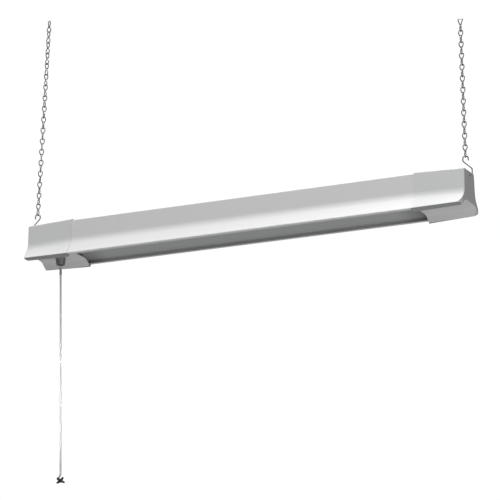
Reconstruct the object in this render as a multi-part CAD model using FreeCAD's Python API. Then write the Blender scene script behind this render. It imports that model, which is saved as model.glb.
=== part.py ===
import FreeCAD
import Part
import math
import os

# A hanging shop light, three feet long: a folded steel channel with flared wings and a
# recessed lens, a moulded cap on each end, a hook and a jack chain at each end, and a
# pull switch with a cord under the left cap.
# Millimetres, +X along the lamp to the right, +Y away from the pull side, +Z up.
# The pieces are drawn with z = 0 on the channel's flat top. They are written out with
# the origin on the line on which both chains swing, above the middle of the lamp.

V = FreeCAD.Vector

# ---- driving dimensions: the channel and its wings -------------------------------
LAMP_LENGTH = 914.0        # over both end caps
CAP_LENGTH = 98.5
TOP_HALF = 28.4            # half the flat top's width
WALL_LEAN = 2.9            # how far each side wall leans out down to the fold
FOLD_DEPTH = 42.7
WING_REACH = 19.4          # how far each wing flares out below the fold
WING_DROP = 28.5
LIP_DROP = 2.3             # the hem below the wing's edge
LIP_FLANGE = 8.2           # turned inwards under the lens
SHEET = 0.9
TOP_BEND = 1.6
FOLD_BEND = 27.0
LIP_BEND = 1.1
FLUSH_GAP = 0.3            # between pieces that butt or sit inside each other
OVERRUN = 5.0              # how far a cutting tool runs past what it cuts
LEAST_BEND = 0.2

# ---- driving dimensions: end caps ---------------------------------------------------
CAP_WALL = 1.8
CAP_PROUD = 2.6            # the mouth stands this far above the channel's top
CAP_SIDE_PROUD = 2.2
CAP_WING_PROUD = 1.3
CAP_RIM = 6.8              # rim below the wing's edge
CAP_RIM_TUCK = 4.5         # the rim leans in by this much
CAP_RIM_WIDTH = 1.8
CAP_TOP_DRAFT = 2.9        # the top falls by this much towards the outer end
CAP_SIDE_DRAFT = 3.4
CAP_FOLD_PROUD = 1.5
CAP_FOLD_DRAFT = 2.7
CAP_FOLD_LOW = 0.5         # the cap's fold lies below the channel's, and falls outwards
CAP_FOLD_FALL = 3.0
CAP_TIP_DRAFT = 2.5
CAP_TIP_LOW = 0.6
CAP_TIP_RISE = 1.5
CAP_RIM_RISE = 1.5         # the rim gets this much shallower towards the outer end
VAULT_HALF = 30.0          # half the level part of the arched underside
VAULT_DRAFT = 1.7
VAULT_DEPTH = 65.5         # of the arch's crown at the mouth
VAULT_RISE = 4.0           # how much higher the crown is at the outer end
CAP_TOP_ROUND = 3.0
CAP_FOLD_ROUND = 26.0
CAP_TIP_ROUND = 1.2
CAP_RIM_ROUND = 0.7
VAULT_ROUND = 25.0
CAP_CORNER = 15.0          # the right cap's front corner, seen from above
CAP_BACK_CORNER = 8.0
CAP_FOOT_ROUND = 11.0      # the right cap's lower back corner, seen from the front
CAP_CHAMFER = 0.7
CAP_PLAN_SLACK = 1.0       # its outline from above clears the section's sides by this
CHANNEL_IN_CAP = 20.0
CHANNEL_IN_CAP_DEPTH = 36.0

# ---- driving dimensions: lens and inner tray ------------------------------------------
LENS_HALF = 45.0
LENS_WALL = 1.6
LENS_LEG = 5.6             # its side edges stand on the lip flanges
LENS_RISE = 5.5
TRAY_DEPTH = 44.0
TRAY_SHEET = 1.0
TRAY_HALF = 29.4
TRAY_FLANGE = 9.0
TRAY_BEND = 1.5
TRAY_END_GAP = 8.5         # from the tray's ends to the caps' mouths
TRAY_SLOT = (8.0, 12.0)    # where the leads pass down to the light boards
POST_RADIUS = 3.0
POST_OFFSET = 17.0
POST_FROM_END = 78.0       # of the tray
SCREW_RADIUS = 1.5
SCREW_HEAD = 2.8
SCREW_HEAD_HEIGHT = 1.8
SCREW_BITE = 5.0           # length of thread in what it holds
SCREW_PLAY = 0.2
RECESS_HALF = 1.7          # the cross recess in a screw's head
RECESS_WIDTH = 0.7
RECESS_DEPTH = 0.9
THREAD_PLAY = 0.05

# ---- driving dimensions: light boards and driver ---------------------------------------
BOARD_HALF = 12.0
BOARD_THICK = 1.2
BOARD_GAP = 12.0           # half the space between the two boards
CHIP_COUNT = 18
CHIP_LENGTH = 3.5
CHIP_WIDTH = 2.8
CHIP_HEIGHT = 0.7
CHIP_END = 20.0            # the first and last light chip from the board's ends
CONNECTOR = (8.0, 16.0, 4.2)
DRIVER_LENGTH = 190.0
DRIVER_HALF = 19.0
DRIVER_HEIGHT = 26.0
DRIVER_WALL = 1.2
DRIVER_POST = 2.6
DRIVER_BOARD_RISE = 3.0
TRANSFORMER = (26.0, 24.0, 17.0)
CHOKE = (12.0, 18.0, 12.0)
CHOKE_OFFSET = 64.0
CAPACITOR_OFFSET = 42.0
CAPACITOR_RADIUS = 7.5
CAPACITOR_HEIGHT = 16.0
BLOCK_FROM_END = 50.0      # the terminal block's middle, from the tray's end
BLOCK = (26.0, 24.0, 14.0)
LEAD_RADIUS = 0.9
LEAD_BEND = 4.0

# ---- driving dimensions: cord inlet on the top -----------------------------------------
INLET_FROM_CAP = 78.5
INLET_BORE = 3.6
INLET_BODY = 5.8
INLET_FLANGE = 9.0
INLET_FLANGE_HEIGHT = 2.0
INLET_DEPTH = 9.0
INLET_LATCH = 0.8

# ---- driving dimensions: hangers, hooks and chains ----------------------------------------
STRAP_HALF = 12.0
STRAP_THICK = 1.2
STRAP_LAP = 33.5           # from the cap's mouth back along the channel
STRAP_WEB = 16.0           # depth of its turned-down end
STRAP_BEND = 1.2
HOOK_WIRE = 1.2            # radius
HOOK_DEPTH = 8.5           # of the hook's foot below the channel's top
HOOK_PLAY = 0.3
HOOK_INSIDE = 10.5         # how far the foot reaches in from the end face
HOOK_OUTSIDE = 6.2         # how far it goes out past the end face
HOOK_FOOT_TOP = 3.2
HOOK_LOOP_LOW = 19.5
HOOK_LOOP_TOP = 29.3
HOOK_LOOP_HALF = 5.3
HOOK_LOOP_INSET = 6.0      # the loop's middle, from the lamp's end
HOOK_LOOP_END = 20.0
HOOK_FOOT_BEND = 3.6
HOOK_KNEE_BEND = 4.0
HOOK_LOOP_BEND = 5.2
CHAIN_WIRE = 1.0           # radius
CHAIN_PITCH = 22.45
CHAIN_PLAY = 0.3
EYE_HALF = 4.0             # half the eye's width, on the wire's centre line
EYE_WAIST = 0.95
EYE_SHOULDER = 5.2
EYE_BEND = 3.9
WAIST_RADIUS = 2.0
WAIST_HALF = 2.2
LEFT_LINKS = 18            # with the top link
RIGHT_LINKS = 12
LEFT_LEAN = 3.6            # degrees, the left chain's top towards the middle
LEFT_TWIST = 90.0          # degrees, from the hook up to the left chain's top link
TOP_EYE_HALF = 5.2
TOP_EYE_BEND = 2.2

# ---- driving dimensions: pull switch, cord and knob ---------------------------------------
SWITCH_FROM_END = 57.5
SWITCH_PAD_DEPTH = 66.6
SWITCH_PAD_RADIUS = 11.2
SWITCH_SIZE = (30.0, 24.0)
SWITCH_TOP_DEPTH = 32.0
SWITCH_FLOOR_DEPTH = 58.6
SWITCH_FLOOR = 2.0
SWITCH_CEILING = 2.0
SWITCH_BORE = 6.5
NIPPLE_RADIUS = 5.0
NIPPLE_END_DEPTH = 80.9
NIPPLE_BORE = 1.55
NUT_FLAT = 6.5             # half across flats
NUT_THICK = 3.0
COLLAR_TOP_RADIUS = 10.3
COLLAR_END_RADIUS = 8.2
COLLAR_END_DEPTH = 80.5
COLLAR_WALL = 1.4
ROD_RADIUS = 1.5
ROD_HEAD_RADIUS = 5.4
ROD_HEAD_THICK = 1.6
ROD_HEAD_DEPTH = 35.0
SPRING_RADIUS = 4.6
SPRING_WALL = 1.2
EYELET_DEPTH = 85.0
EYELET_RADIUS = 2.6
EYELET_WIRE = 0.6
FERRULE_RADIUS = 2.3
FERRULE_TOP_DEPTH = 90.2
FERRULE_END_DEPTH = 101.0
CORD_RADIUS = 2.0
CORD_BEND_SHARE = 0.45     # of the shorter run at a bend
CORD_ROUTE = [(0, -101.0), (0, -490.0), (-1.9, -498.0), (-4.5, -504.4)]  # from the switch
KNOB_CENTRE = (0.3, -511.3)
KNOB_UPPER = (4.6, 5.6)    # the free upper arm's end, from the centre
KNOB_LOWER = (7.2, -2.9)
KNOB_CORE = 2.9
KNOB_TIP = 1.9
KNOB_SOCKET = 2.6
KNOB_SOCKET_LENGTH = 2.6

# ---- places worked out from them -------------------------------------------------------
HALF = LAMP_LENGTH / 2
MOUTH = HALF - CAP_LENGTH
TIP_HALF = TOP_HALF + WALL_LEAN + WING_REACH
TIP_DEPTH = FOLD_DEPTH + WING_DROP
LIP_DEPTH = TIP_DEPTH + LIP_DROP
CHANNEL_END = MOUTH + CHANNEL_IN_CAP
TRAY_HALF_LENGTH = MOUTH - TRAY_END_GAP
BOARD_LENGTH = TRAY_HALF_LENGTH - BOARD_GAP
BLOCK_CENTRE = BLOCK_FROM_END - TRAY_HALF_LENGTH
POST_STEP = TRAY_HALF_LENGTH - POST_FROM_END
DRIVER_CENTRE = -(POST_STEP + BOARD_GAP + CHIP_END / 2) / 2
LEAD_OFFSET = SCREW_HEAD + LEAD_RADIUS + FLUSH_GAP
JUMPER_OFFSET = LEAD_OFFSET + 2 * LEAD_RADIUS + FLUSH_GAP
INLET_X = INLET_FROM_CAP - MOUTH
STRAP_START = MOUTH - STRAP_LAP
HOOK_LOOP_X = HALF - HOOK_LOOP_INSET
SWITCH_X = SWITCH_FROM_END - HALF
TRAY_UNDER = -TRAY_DEPTH - TRAY_SHEET
BOARD_UNDER = TRAY_UNDER - BOARD_THICK
HOOK_SEAT = HOOK_LOOP_TOP - HOOK_WIRE - CHAIN_WIRE - CHAIN_PLAY
LINK_GAP = 2 * CHAIN_WIRE + CHAIN_PLAY
LINK_HEIGHT = CHAIN_PITCH + LINK_GAP
LEFT_WAY = V(math.sin(math.radians(LEFT_LEAN)), 0, math.cos(math.radians(LEFT_LEAN)))
LEFT_FOOT = V(-HOOK_LOOP_X, 0, HOOK_SEAT)
RIGHT_FOOT = V(HOOK_LOOP_X, 0, HOOK_SEAT)
LEFT_PIVOT = LEFT_FOOT + LEFT_WAY * ((LEFT_LINKS - 1) * CHAIN_PITCH)
RIGHT_PIVOT = RIGHT_FOOT + V(0, 0, (RIGHT_LINKS - 1) * CHAIN_PITCH + LINK_GAP)
SWING_SLOPE = (RIGHT_PIVOT.z - LEFT_PIVOT.z) / (RIGHT_PIVOT.x - LEFT_PIVOT.x)
ORIGIN_HEIGHT = LEFT_PIVOT.z - LEFT_PIVOT.x * SWING_SLOPE


# ---- helpers -----------------------------------------------------------------------------
def rounded(points, radii, closed=False):
    """Edges along the points, with a tangent arc of the given radius at each corner."""
    count = len(points)
    corners = []
    for i, here in enumerate(points):
        if radii[i] <= 0 or (not closed and i in (0, count - 1)):
            corners.append((here, None, here))
            continue
        back = (points[i - 1] - here).normalize()
        ahead = (points[(i + 1) % count] - here).normalize()
        half = back.getAngle(ahead) / 2
        middle = (back + ahead).normalize()
        centre = here + middle * (radii[i] / math.sin(half))
        reach = radii[i] / math.tan(half)
        corners.append((here + back * reach, centre - middle * radii[i], here + ahead * reach))
    edges = []
    for i in range(count if closed else count - 1):
        start, _, begin = corners[i]
        end, bend, leave = corners[(i + 1) % count]
        edges.append(Part.LineSegment(begin, end).toShape())
        if bend is not None:
            edges.append(Part.Arc(end, bend, leave).toShape())
    return edges


def mirrored(half):
    """A whole outline, from the front edge over the top to the back edge."""
    return [(-y, z) for y, z in reversed(half)] + list(half)


def steps_of(points, i, closed):
    """Unit steps into and out of point i; None where an open outline ends."""
    count = len(points)
    before = points[i - 1] if closed or i > 0 else None
    after = points[(i + 1) % count] if closed or i < count - 1 else None
    steps = []
    for start, end in ((before, points[i]), (points[i], after)):
        if start is None or end is None:
            steps.append(None)
            continue
        run = math.dist(start, end)
        steps.append(((end[0] - start[0]) / run, (end[1] - start[1]) / run))
    return steps


def inset(points, distance, closed=False):
    """The outline moved to the right of the way it is walked, with mitred corners."""
    moved = []
    for i, (y, z) in enumerate(points):
        steps = [step for step in steps_of(points, i, closed) if step]
        ny = sum(step[1] for step in steps) / len(steps)
        nz = -sum(step[0] for step in steps) / len(steps)
        scale = distance / (ny * ny + nz * nz)
        moved.append((y + ny * scale, z + nz * scale))
    return moved


def inset_radii(points, radii, distance, closed=False):
    """Corner radii for the moved outline: smaller at right turns, larger at left turns."""
    changed = []
    for i, radius in enumerate(radii):
        into, out = steps_of(points, i, closed)
        if radius <= 0 or into is None or out is None:
            changed.append(0)
            continue
        left_turn = into[0] * out[1] - into[1] * out[0] > 0
        changed.append(radius + distance if left_turn else max(radius - distance, LEAST_BEND))
    return changed


def section(x, points, radii):
    """A closed wire in the plane across the lamp at x."""
    return Part.Wire(rounded([V(x, y, z) for y, z in points], radii, closed=True))


def sheet_face(x, half, radii, thickness):
    """The section of folded sheet whose outer side follows the mirrored outline."""
    outer = mirrored(half)
    outer_radii = list(reversed(radii)) + list(radii)
    inner = inset(outer, thickness)
    inner_radii = inset_radii(outer, outer_radii, thickness)
    return Part.Face(section(x, outer + inner[::-1], outer_radii + inner_radii[::-1]))


def box(x0, x1, y0, y1, z0, z1):
    return Part.makeBox(x1 - x0, y1 - y0, z1 - z0, V(x0, y0, z0))


def rod(start, end, radius):
    return Part.makeCylinder(radius, (end - start).Length, start, end - start)


def column(x, y, z0, z1, radius):
    return rod(V(x, y, z0), V(x, y, z1), radius)


def hole(x, y, level, radius):
    """The tool for a round hole through a sheet at that level."""
    return column(x, y, level - OVERRUN, level + OVERRUN, radius)


def tube(points, radii, radius):
    """A round wire or lead bent along the points."""
    path = Part.Wire(rounded(points, radii))
    ring = Part.Wire(Part.Circle(points[0], points[1] - points[0], radius).toShape())
    return path.makePipeShell([ring], True, False)


def fused(shapes):
    return shapes[0].multiFuse(shapes[1:]).removeSplitter()


def cut(shape, tools):
    return shape.cut(Part.makeCompound(tools))


def flipped(shape):
    """The same piece at the left end, turned half round about the upright middle line."""
    return shape.rotated(V(0, 0, 0), V(0, 0, 1), 180)


def screw(x, y, seat, way):
    """A cross-recessed screw: its head on the seat, its shank along way (-1 is down)."""
    top = seat - way * SCREW_HEAD_HEIGHT
    head = column(x, y, seat, top, SCREW_HEAD)
    shank = column(x, y, seat, seat + way * SCREW_BITE, SCREW_RADIUS)
    low, high = sorted((top + way * RECESS_DEPTH, top - way * OVERRUN))
    half, narrow = RECESS_HALF, RECESS_WIDTH / 2
    recess = fused([box(x - half, x + half, y - narrow, y + narrow, low, high),
                    box(x - narrow, x + narrow, y - half, y + half, low, high)])
    return fused([head, shank]).cut(recess)


# ---- the channel with its wings ----------------------------------------------------------
HOUSING_HALF = [
    (TOP_HALF, 0), (TOP_HALF + WALL_LEAN, -FOLD_DEPTH), (TIP_HALF, -TIP_DEPTH),
    (TIP_HALF, -LIP_DEPTH), (TIP_HALF - LIP_FLANGE, -LIP_DEPTH)]
HOUSING_RADII = [TOP_BEND, FOLD_BEND, LIP_BEND, LIP_BEND, 0]
POSTS = [(x, y) for x in (-POST_STEP, 0, POST_STEP) for y in (-POST_OFFSET, POST_OFFSET)]
CAP_SCREW_X = MOUTH + CHANNEL_IN_CAP / 2
CAP_SCREW_Y = STRAP_HALF / 2
RIVET_X = STRAP_START + STRAP_HALF


def housing():
    face = sheet_face(-CHANNEL_END, HOUSING_HALF, HOUSING_RADII, SHEET)
    body = face.extrude(V(2 * CHANNEL_END, 0, 0))
    end = MOUTH - FLUSH_GAP
    tools = []
    for side in (-1, 1):
        near, far = sorted((side * end, side * (CHANNEL_END + OVERRUN)))
        tools.append(box(near, far, -2 * TIP_HALF, 2 * TIP_HALF, -2 * LIP_DEPTH, -CHANNEL_IN_CAP_DEPTH))
        for y in (-CAP_SCREW_Y, CAP_SCREW_Y):
            tools.append(hole(side * CAP_SCREW_X, y, 0, SCREW_RADIUS + SCREW_PLAY))
            tools.append(hole(side * RIVET_X, y, 0, SCREW_RADIUS))
    tools += [hole(x, y, 0, SCREW_RADIUS + SCREW_PLAY) for x, y in POSTS]
    tools.append(hole(INLET_X, 0, 0, INLET_BODY))
    return cut(body, tools)


def lens():
    """An arched strip whose side legs stand on the channel's lip flanges."""
    x = -MOUTH + 2 * FLUSH_GAP
    foot = -LIP_DEPTH + SHEET
    low = foot + LENS_LEG
    inner = LENS_HALF - LENS_WALL
    outline = [
        Part.LineSegment(V(x, -LENS_HALF, foot), V(x, -LENS_HALF, low + LENS_WALL)).toShape(),
        Part.Arc(V(x, -LENS_HALF, low + LENS_WALL), V(x, 0, low + LENS_RISE + LENS_WALL),
                 V(x, LENS_HALF, low + LENS_WALL)).toShape(),
        Part.LineSegment(V(x, LENS_HALF, low + LENS_WALL), V(x, LENS_HALF, foot)).toShape(),
        Part.LineSegment(V(x, LENS_HALF, foot), V(x, inner, foot)).toShape(),
        Part.LineSegment(V(x, inner, foot), V(x, inner, low)).toShape(),
        Part.Arc(V(x, inner, low), V(x, 0, low + LENS_RISE), V(x, -inner, low)).toShape(),
        Part.LineSegment(V(x, -inner, low), V(x, -inner, foot)).toShape(),
        Part.LineSegment(V(x, -inner, foot), V(x, -LENS_HALF, foot)).toShape()]
    return Part.Face(Part.Wire(outline)).extrude(V(-2 * x, 0, 0))


# ---- end caps ------------------------------------------------------------------------------
def cap_half(along):
    """Back half of the cap's section; along is 0 at the mouth and 1 at the outer end."""
    tip_y = TIP_HALF + CAP_WING_PROUD - CAP_TIP_DRAFT * along
    tip_z = -TIP_DEPTH - CAP_TIP_LOW + CAP_TIP_RISE * along
    rim_z = tip_z - CAP_RIM + CAP_RIM_RISE * along
    fold_y = TOP_HALF + WALL_LEAN + CAP_FOLD_PROUD - CAP_FOLD_DRAFT * along
    return [
        (TOP_HALF + CAP_SIDE_PROUD - CAP_SIDE_DRAFT * along, CAP_PROUD - CAP_TOP_DRAFT * along),
        (fold_y, -FOLD_DEPTH - CAP_FOLD_LOW - CAP_FOLD_FALL * along),
        (tip_y, tip_z),
        (tip_y - CAP_RIM_TUCK, rim_z),
        (tip_y - CAP_RIM_TUCK - CAP_RIM_WIDTH, rim_z),
        (VAULT_HALF - VAULT_DRAFT * along, -VAULT_DEPTH + VAULT_RISE * along)]


CAP_RADII = [CAP_TOP_ROUND, CAP_FOLD_ROUND, CAP_TIP_ROUND, CAP_RIM_ROUND, CAP_RIM_ROUND, VAULT_ROUND]


def cap_top(x):
    """Height of the cap's outer top at x."""
    return CAP_PROUD - CAP_TOP_DRAFT * (x - MOUTH) / CAP_LENGTH


def cap_plan(wall):
    """The cap's outline from above with round outer corners, moved in by the wall, as a tall block."""
    end, height = HALF - wall, 2 * LIP_DEPTH
    mouth_y = TIP_HALF + CAP_WING_PROUD + CAP_PLAN_SLACK - wall
    end_y = mouth_y - CAP_TIP_DRAFT
    start = MOUTH - CAP_WALL
    points = [V(start, -mouth_y, -height), V(end, -end_y, -height),
              V(end, end_y, -height), V(start, mouth_y, -height)]
    radii = [0, CAP_CORNER - wall, CAP_BACK_CORNER - wall, 0]
    wire = Part.Wire(rounded(points, radii, closed=True))
    return Part.Face(wire).extrude(V(0, 0, 2 * height))


def cap_foot(wall):
    """What the lower back corner loses to its rounding, moved in by the wall."""
    radius = CAP_FOOT_ROUND - wall
    x = HALF - CAP_FOOT_ROUND
    z = cap_half((x - MOUTH) / CAP_LENGTH)[3][1] + CAP_FOOT_ROUND
    corner = box(x, HALF + OVERRUN, 0, 2 * TIP_HALF, z - CAP_FOOT_ROUND - OVERRUN, z)
    return corner.cut(rod(V(x, -OVERRUN, z), V(x, 2 * TIP_HALF + OVERRUN, z), radius))


def cap_block():
    outlines = []
    for x, shrink in ((MOUTH, 0), (HALF - 2 * CAP_CHAMFER, 0), (HALF, CAP_CHAMFER)):
        points = mirrored(cap_half((x - MOUTH) / CAP_LENGTH))
        radii = list(reversed(CAP_RADII)) + CAP_RADII
        if shrink:
            radii = inset_radii(points, radii, shrink, closed=True)
            points = inset(points, shrink, closed=True)
        outlines.append(section(x, points, radii))
    block = Part.makeLoft(outlines, True, True)
    return block.common(cap_plan(0)).cut(cap_foot(0))


def cap_hollow():
    """The space inside the cap: its section without the rim, moved in by the wall."""
    outlines = []
    for x in (MOUTH - CAP_WALL, HALF - CAP_WALL):
        half = cap_half((x - MOUTH) / CAP_LENGTH)
        del half[3]
        radii = CAP_RADII[:3] + CAP_RADII[4:]
        points = mirrored(half)
        radii = list(reversed(radii)) + radii
        inner_radii = inset_radii(points, radii, CAP_WALL, closed=True)
        outlines.append(section(x, inset(points, CAP_WALL, closed=True), inner_radii))
    hollow = Part.makeLoft(outlines, True, True)
    return hollow.common(cap_plan(CAP_WALL)).cut(cap_foot(CAP_WALL))


def hook_hole(x):
    """The tool for the hole that the hook's foot turns in, through a wall at x."""
    middle = V(x, 0, -HOOK_DEPTH)
    return rod(middle - V(OVERRUN, 0, 0), middle + V(OVERRUN, 0, 0), HOOK_WIRE + HOOK_PLAY)


def end_cap():
    """The right cap; the left one is the same moulding turned round."""
    body = cap_block().cut(cap_hollow())
    channel = [(TOP_HALF + FLUSH_GAP, FLUSH_GAP),
               (TOP_HALF + WALL_LEAN + FLUSH_GAP, -FOLD_DEPTH)]
    pocket = Part.Face(section(MOUTH - OVERRUN, mirrored(channel), [0, TOP_BEND, TOP_BEND, 0]))
    tools = [pocket.extrude(V(OVERRUN + CHANNEL_IN_CAP + FLUSH_GAP, 0, 0)), hook_hole(HALF)]
    for y in (-CAP_SCREW_Y, CAP_SCREW_Y):
        seat = cap_top(CAP_SCREW_X) - SCREW_HEAD_HEIGHT / 2
        tools.append(hole(CAP_SCREW_X, y, 0, SCREW_RADIUS + SCREW_PLAY))
        tools.append(column(CAP_SCREW_X, y, seat, seat + OVERRUN, SCREW_HEAD + SCREW_PLAY))
    return cut(body, tools)


def switch_cap():
    """The left cap: turned round, with a level pad and a hole for the switch."""
    body = flipped(end_cap())
    pad = column(SWITCH_X, 0, -SWITCH_PAD_DEPTH, -SWITCH_FLOOR_DEPTH - SWITCH_FLOOR, SWITCH_PAD_RADIUS)
    bore = hole(SWITCH_X, 0, -SWITCH_FLOOR_DEPTH - OVERRUN, NIPPLE_RADIUS + SCREW_PLAY)
    return fused([body, pad]).cut(bore)


# ---- hangers ---------------------------------------------------------------------------------
def hanger_strap():
    """Steel strap under the channel's top, turned down behind the cap's end wall."""
    web = HALF - CAP_WALL - FLUSH_GAP
    top = cap_top(web) - CAP_WALL - FLUSH_GAP
    outer = [(STRAP_START, -SHEET), (CHANNEL_END, -SHEET), (web, top), (web, top - STRAP_WEB)]
    outer_radii = [0, STRAP_WEB, STRAP_BEND + STRAP_THICK, 0]
    inner = inset(outer, STRAP_THICK)
    inner_radii = inset_radii(outer, outer_radii, STRAP_THICK)
    points = [V(x, -STRAP_HALF, z) for x, z in outer + inner[::-1]]
    wire = Part.Wire(rounded(points, outer_radii + inner_radii[::-1], closed=True))
    strap = Part.Face(wire).extrude(V(0, 2 * STRAP_HALF, 0))
    tools = [hook_hole(web)]
    for y in (-CAP_SCREW_Y, CAP_SCREW_Y):
        tools.append(hole(CAP_SCREW_X, y, 0, SCREW_RADIUS))
        tools.append(hole(RIVET_X, y, 0, SCREW_RADIUS))
    return cut(strap, tools)


def cap_screws():
    seat = cap_top(CAP_SCREW_X) - SCREW_HEAD_HEIGHT / 2
    return [screw(CAP_SCREW_X, y, seat, -1) for y in (-CAP_SCREW_Y, CAP_SCREW_Y)]


def strap_rivets():
    """Flat rivets that hold each strap to the channel's top."""
    rivets = []
    low = -SHEET - STRAP_THICK
    for y in (-CAP_SCREW_Y, CAP_SCREW_Y):
        rivets.append(fused([
            column(RIVET_X, y, low, 0, SCREW_RADIUS),
            column(RIVET_X, y, 0, SHEET, SCREW_HEAD),
            column(RIVET_X, y, low - SHEET, low, SCREW_HEAD)]))
    return rivets


def hook():
    """Bent wire: a foot through the cap's end, a slanted shank and an open loop."""
    foot_z = -HOOK_DEPTH
    out = HALF + HOOK_OUTSIDE
    near, far = HOOK_LOOP_X - HOOK_LOOP_HALF, HOOK_LOOP_X + HOOK_LOOP_HALF
    points = [V(HALF - HOOK_INSIDE, 0, foot_z), V(out, 0, foot_z), V(out, 0, HOOK_FOOT_TOP),
              V(near, 0, HOOK_LOOP_LOW), V(near, 0, HOOK_LOOP_TOP), V(far, 0, HOOK_LOOP_TOP),
              V(far, 0, HOOK_LOOP_END)]
    bends = [0, HOOK_FOOT_BEND, HOOK_KNEE_BEND, HOOK_KNEE_BEND, HOOK_LOOP_BEND, HOOK_LOOP_BEND, 0]
    return tube(points, bends, HOOK_WIRE)


# ---- chains ------------------------------------------------------------------------------------
def eye(half_width, shoulder, bend):
    """The upper loop of a link, face on, from the waist up and back."""
    top = LINK_HEIGHT / 2
    left = [V(-EYE_WAIST, 0, 0)]
    radii = [0]
    if shoulder:
        left.append(V(-half_width, 0, shoulder))
        radii.append(EYE_BEND)
    left.append(V(-half_width, 0, top))
    radii.append(bend)
    right = [V(-point.x, 0, point.z) for point in reversed(left)]
    return tube(left + right, radii + radii[::-1], CHAIN_WIRE)


def round_eye():
    return eye(EYE_HALF, EYE_SHOULDER, EYE_BEND)


def flat_eye():
    return eye(TOP_EYE_HALF, 0, TOP_EYE_BEND)


def link(upper, lower):
    """Two loops at right angles, joined at a short waist; centred on the origin."""
    under = lower.rotated(V(0, 0, 0), V(1, 0, 0), 180).rotated(V(0, 0, 0), V(0, 0, 1), 90)
    waist = column(0, 0, -WAIST_HALF, WAIST_HALF, WAIST_RADIUS)
    return fused([waist, upper, under])


def hung(piece, foot, way, number, quarter):
    """A copy of the link, number places above the foot along the chain's way."""
    centre = foot + way * (number * CHAIN_PITCH + LINK_HEIGHT / 2)
    lean = math.degrees(math.atan2(way.x, way.z))
    turned = piece.rotated(V(0, 0, 0), V(0, 0, 1), quarter)
    return turned.rotated(V(0, 0, 0), V(0, 1, 0), lean).translated(centre)


def chain(piece, foot, way, links, twist):
    """Every link below the top one; the chain turns by twist degrees up to its top link."""
    return [hung(piece, foot, way, number, twist * number / (links - 1))
            for number in range(links - 1)]


# ---- tray, boards and driver ----------------------------------------------------------------------
def tray():
    """A flat tray with turned-up sides, across the channel above the lens."""
    rise = TRAY_UNDER + TRAY_FLANGE
    outer = [(-TRAY_HALF, rise), (-TRAY_HALF, TRAY_UNDER), (TRAY_HALF, TRAY_UNDER), (TRAY_HALF, rise)]
    outer_radii = [0, TRAY_BEND, TRAY_BEND, 0]
    inner = inset(outer, -TRAY_SHEET)
    inner_radii = [0, TRAY_BEND - TRAY_SHEET, TRAY_BEND - TRAY_SHEET, 0]
    wire = section(-TRAY_HALF_LENGTH, outer + inner[::-1], outer_radii + inner_radii[::-1])
    body = Part.Face(wire).extrude(V(2 * TRAY_HALF_LENGTH, 0, 0))
    tools = [hole(x, y, TRAY_UNDER, SCREW_RADIUS + SCREW_PLAY) for x, y in POSTS]
    length, width = TRAY_SLOT
    low, high = TRAY_UNDER - OVERRUN, TRAY_UNDER + OVERRUN
    tools.append(box(-length / 2, length / 2, -width / 2, width / 2, low, high))
    tools += [hole(x, 0, TRAY_UNDER, SCREW_RADIUS) for x in board_screw_places()]
    tools += [hole(x, y, TRAY_UNDER, SCREW_RADIUS) for x, y in driver_corners()]
    return cut(body, tools)


def posts():
    """Stand-offs that hang the tray from the channel's top, tapped at both ends."""
    pieces = []
    for x, y in POSTS:
        body = column(x, y, -TRAY_DEPTH, -SHEET, POST_RADIUS)
        taps = [column(x, y, -SHEET - SCREW_BITE, 0, SCREW_RADIUS),
                column(x, y, TRAY_UNDER, -TRAY_DEPTH + SCREW_BITE, SCREW_RADIUS)]
        pieces.append(cut(body, taps))
    return pieces


def post_screws():
    return [screw(x, y, 0, -1) for x, y in POSTS] + [screw(x, y, TRAY_UNDER, 1) for x, y in POSTS]


def board_screw_places():
    inner = BOARD_GAP + CHIP_END / 2
    outer = BOARD_GAP + BOARD_LENGTH - CHIP_END / 2
    return [-outer, -inner, inner, outer]


def board():
    """The right-hand light board, under the tray."""
    body = box(BOARD_GAP, BOARD_GAP + BOARD_LENGTH, -BOARD_HALF, BOARD_HALF, BOARD_UNDER, TRAY_UNDER)
    return cut(body, [hole(x, 0, TRAY_UNDER, SCREW_RADIUS) for x in board_screw_places()[2:]])


def chips():
    """A row of light chips under the right-hand board."""
    first = BOARD_GAP + 2 * CHIP_END
    last = BOARD_GAP + BOARD_LENGTH - CHIP_END
    step = (last - first) / (CHIP_COUNT - 1)
    row = []
    for number in range(CHIP_COUNT):
        x = first + number * step
        row.append(box(x - CHIP_LENGTH / 2, x + CHIP_LENGTH / 2, -CHIP_WIDTH / 2, CHIP_WIDTH / 2,
                       BOARD_UNDER - CHIP_HEIGHT, BOARD_UNDER))
    return row


def board_screws():
    return [screw(x, 0, BOARD_UNDER, 1) for x in board_screw_places()]


def connector_places():
    """Near faces of the two connectors, from the middle."""
    return BOARD_GAP + CHIP_END / 2 + SCREW_HEAD + SCREW_PLAY


def connectors():
    length, width, height = CONNECTOR
    near = connector_places()
    right = box(near, near + length, -width / 2, width / 2, BOARD_UNDER - height, BOARD_UNDER)
    return [right, flipped(right)]


def driver_corners():
    """The corner posts' places; each post stands partly in the case's walls."""
    x0, x1 = driver_span()
    edge = DRIVER_WALL / 2 + DRIVER_POST
    side = DRIVER_HALF - edge
    return [(x, y) for x in (x0 + edge, x1 - edge) for y in (-side, side)]


def driver_span():
    return DRIVER_CENTRE - DRIVER_LENGTH / 2, DRIVER_CENTRE + DRIVER_LENGTH / 2


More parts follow.
